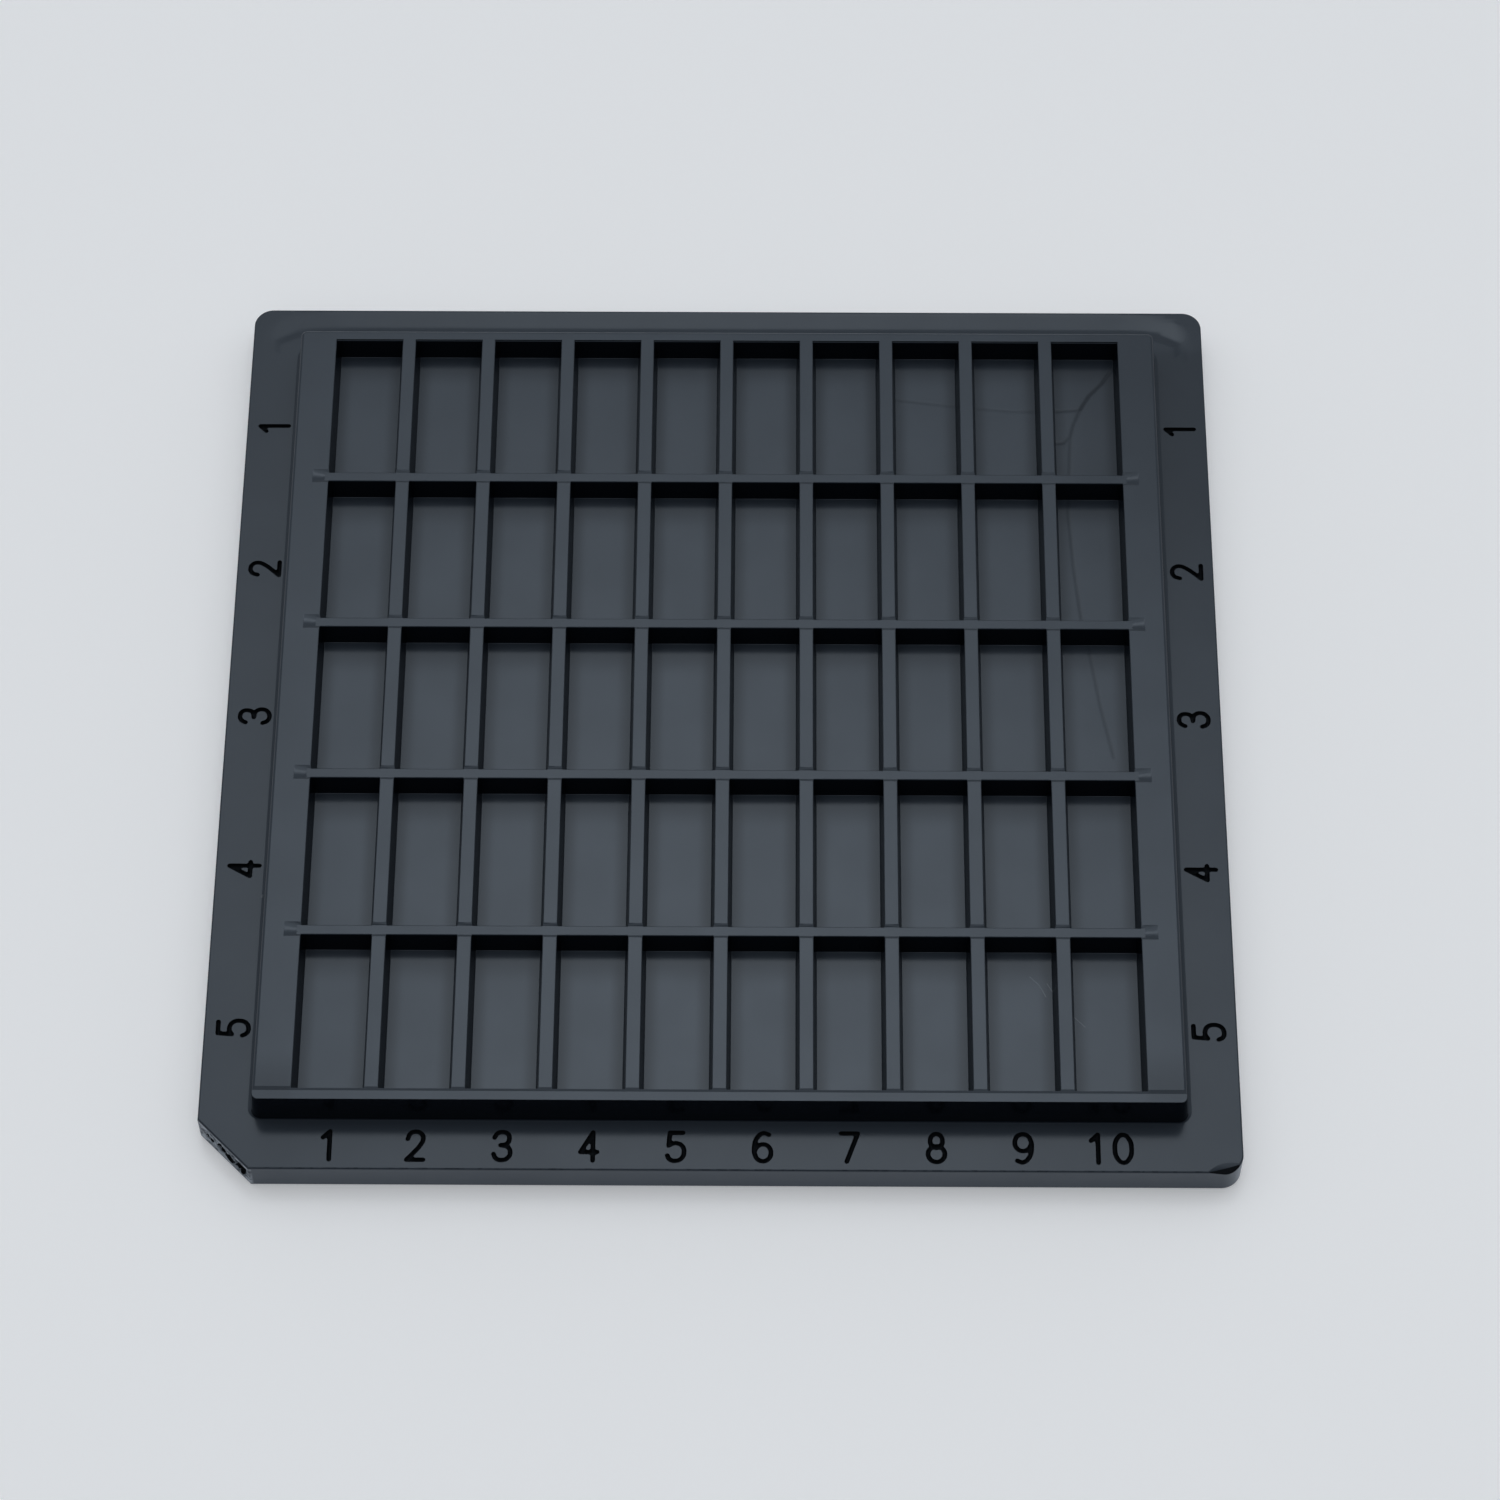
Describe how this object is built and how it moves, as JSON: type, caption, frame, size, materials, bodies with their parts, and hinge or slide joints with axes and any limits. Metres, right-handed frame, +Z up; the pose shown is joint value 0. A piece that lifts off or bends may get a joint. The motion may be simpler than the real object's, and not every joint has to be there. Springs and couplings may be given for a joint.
{
  "type": "bare die tray",
  "caption": "Square black moulded tray that holds bare dies in a grid of drafted rectangular pockets, with a keyed rim and a stacking recess under it.",
  "frame": {"origin": "centre of the square outline, on the plane of the foot ring the tray stands on", "axes": "+Z up out of the pockets, +X along the rows to the right, +Y away from the front edge; the key corner is at -X, -Y"},
  "size_m": [0.0508, 0.0508, 0.0039],
  "materials": {
    "tray_plastic": "fine satin, carbon-filled black"
  },
  "bodies": {
    "root": {"die_tray": "tray_plastic"}
  },
  "joints": []
}
